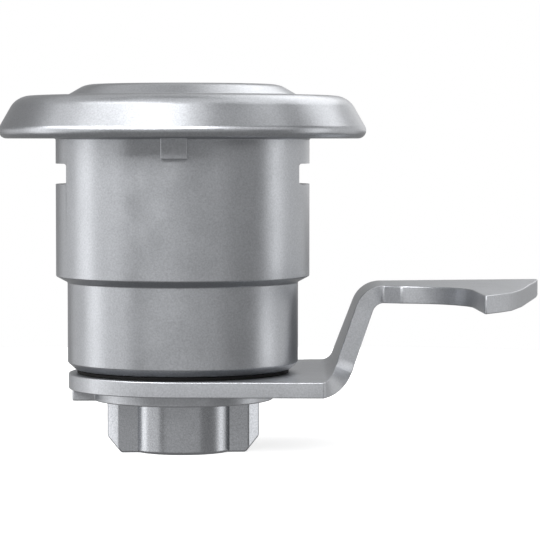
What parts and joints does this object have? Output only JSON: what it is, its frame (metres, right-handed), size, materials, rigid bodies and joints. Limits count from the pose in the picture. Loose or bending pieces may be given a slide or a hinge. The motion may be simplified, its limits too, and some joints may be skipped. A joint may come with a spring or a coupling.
{
  "type": "lever lock",
  "caption": "Round flanged cylinder lock whose plug turns a cranked, hooked steel lever by a quarter turn to latch a door or lid behind its panel.",
  "frame": {"origin": "on the lock's axis, in the plane of the flange's underside, where the panel's front face comes", "axes": "+Z along the lock's axis, out of the front face; +X along the lever in its locked place; the hook opens towards -Y"},
  "size_m": [0.0683, 0.045, 0.0449],
  "materials": {
    "satin_zinc": "satin die-cast zinc, fine speckled matt plating",
    "satin_steel": "satin zinc-plated steel, lightly speckled",
    "black_plastic": "matt black",
    "brass": "turned brass, lightly brushed",
    "wafer_brass": "stamped brass",
    "polished_steel": "finely brushed stainless steel",
    "spring_steel": "drawn spring wire",
    "seal_rubber": "black nitrile rubber"
  },
  "bodies": {
    "housing": {"housing": "satin_zinc", "retaining_pin": "polished_steel", "glide_washer": "black_plastic"},
    "rotor": {"plug": "brass", "face_cap": "polished_steel", "shutter_pin": "polished_steel", "shutter_spring": "spring_steel", "plug_o_ring": "seal_rubber", "spindle": "satin_steel", "spindle_o_ring": "seal_rubber", "stop_pin": "polished_steel", "cam_lever": "satin_steel", "tab_washer": "satin_steel", "clamp_nut": "satin_zinc", "wafer_spring_1": "spring_steel", "wafer_spring_2": "spring_steel", "wafer_spring_3": "spring_steel", "wafer_spring_4": "spring_steel", "wafer_spring_5": "spring_steel", "wafer_spring_6": "spring_steel"},
    "shutter": {"shutter": "polished_steel"},
    "wafer_1": {"wafer_1": "wafer_brass"},
    "wafer_2": {"wafer_2": "wafer_brass"},
    "wafer_3": {"wafer_3": "wafer_brass"},
    "wafer_4": {"wafer_4": "wafer_brass"},
    "wafer_5": {"wafer_5": "wafer_brass"},
    "wafer_6": {"wafer_6": "wafer_brass"}
  },
  "joints": [
    {"name": "plug_turn", "type": "hinge", "parent": "housing", "child": "rotor", "pos_m": [0, 0, 0], "axis": [0, 0, 1], "range_deg": [0, 90]},
    {"name": "shutter_swing", "type": "hinge", "parent": "rotor", "child": "shutter", "pos_m": [0.0026, 0, 0.0037], "axis": [0, -1, 0], "range_deg": [0, 85], "stiffness_Nm_per_rad": 0.002, "springref_deg": -20.05, "deforming": ["shutter_spring"]},
    {"name": "wafer_1_slide", "type": "slide", "parent": "rotor", "child": "wafer_1", "axis": [0, 1, 0], "range_m": [0, 0.0008], "stiffness_N_per_m": 60, "springref_m": 0.0024, "deforming": ["wafer_spring_1"]},
    {"name": "wafer_2_slide", "type": "slide", "parent": "rotor", "child": "wafer_2", "axis": [0, -1, 0], "range_m": [0, 0.0008], "stiffness_N_per_m": 60, "springref_m": 0.0024, "deforming": ["wafer_spring_2"]},
    {"name": "wafer_3_slide", "type": "slide", "parent": "rotor", "child": "wafer_3", "axis": [0, 1, 0], "range_m": [0, 0.0008], "stiffness_N_per_m": 60, "springref_m": 0.0024, "deforming": ["wafer_spring_3"]},
    {"name": "wafer_4_slide", "type": "slide", "parent": "rotor", "child": "wafer_4", "axis": [0, -1, 0], "range_m": [0, 0.0008], "stiffness_N_per_m": 60, "springref_m": 0.0024, "deforming": ["wafer_spring_4"]},
    {"name": "wafer_5_slide", "type": "slide", "parent": "rotor", "child": "wafer_5", "axis": [0, 1, 0], "range_m": [0, 0.0008], "stiffness_N_per_m": 60, "springref_m": 0.0024, "deforming": ["wafer_spring_5"]},
    {"name": "wafer_6_slide", "type": "slide", "parent": "rotor", "child": "wafer_6", "axis": [0, -1, 0], "range_m": [0, 0.0008], "stiffness_N_per_m": 60, "springref_m": 0.0024, "deforming": ["wafer_spring_6"]}
  ]
}
